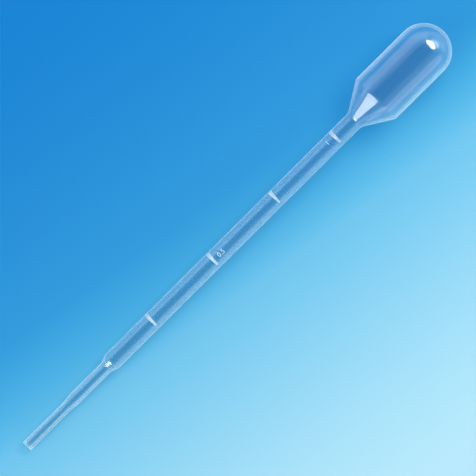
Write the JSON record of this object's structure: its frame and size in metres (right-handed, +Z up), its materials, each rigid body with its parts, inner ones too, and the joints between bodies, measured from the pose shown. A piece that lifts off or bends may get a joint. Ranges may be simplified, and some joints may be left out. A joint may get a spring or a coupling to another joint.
{
  "type": "transfer pipette",
  "caption": "Disposable transfer pipette: fine stepped tip, long clear stem with raised volume lines, and a soft domed bulb whose thumb and finger walls squeeze in to draw liquid.",
  "frame": {"origin": "centre of the bounding box at the surface that the pipette lies on", "axes": "+X along the pipette from the tip to the bulb, +Z up from the surface, +Y to the left of someone looking from the tip to the bulb; the pipette's own axis leans up towards the bulb by 2.603 degrees, the angle at which it rests on its tip's rim and its bulb's shoulder"},
  "size_m": [0.145, 0.0138, 0.0145],
  "materials": {
    "clear_stem": "natural low-density polyethylene, clear with a faint milkiness, smooth",
    "clear_bulb": "natural low-density polyethylene, thin blown wall, clear with a faint milkiness, smooth",
    "raised_lines": "the same polyethylene, frosted where the mould's engraving raised it"
  },
  "bodies": {
    "moulding": {"dispensing_tip": "clear_stem", "tip_step": "clear_stem", "upper_tip": "clear_stem", "stem_shoulder": "clear_stem", "stem_tube": "clear_stem", "graduation_line_0_25_ml": "raised_lines", "graduation_line_0_50_ml": "raised_lines", "graduation_line_0_75_ml": "raised_lines", "graduation_line_1_00_ml": "raised_lines", "bulb_shoulder": "clear_bulb", "bulb_side_wall_left": "clear_bulb", "bulb_side_wall_right": "clear_bulb", "bulb_dome": "clear_bulb"},
    "thumb_side": {"thumb_wall": "clear_bulb"},
    "finger_side": {"finger_wall": "clear_bulb"}
  },
  "joints": [
    {"name": "thumb_press", "type": "slide", "parent": "moulding", "child": "thumb_side", "axis": [0.0454, 0, -0.999], "range_m": [0, 0.0025], "stiffness_N_per_m": 800, "springref_m": -0.00005},
    {"name": "finger_press", "type": "slide", "parent": "moulding", "child": "finger_side", "axis": [-0.0454, 0, 0.999], "range_m": [0, 0.0025], "stiffness_N_per_m": 800, "springref_m": -0.00005}
  ],
  "couplings": [
    {"joint": "finger_press", "follows": "thumb_press", "ratio": 1}
  ]
}
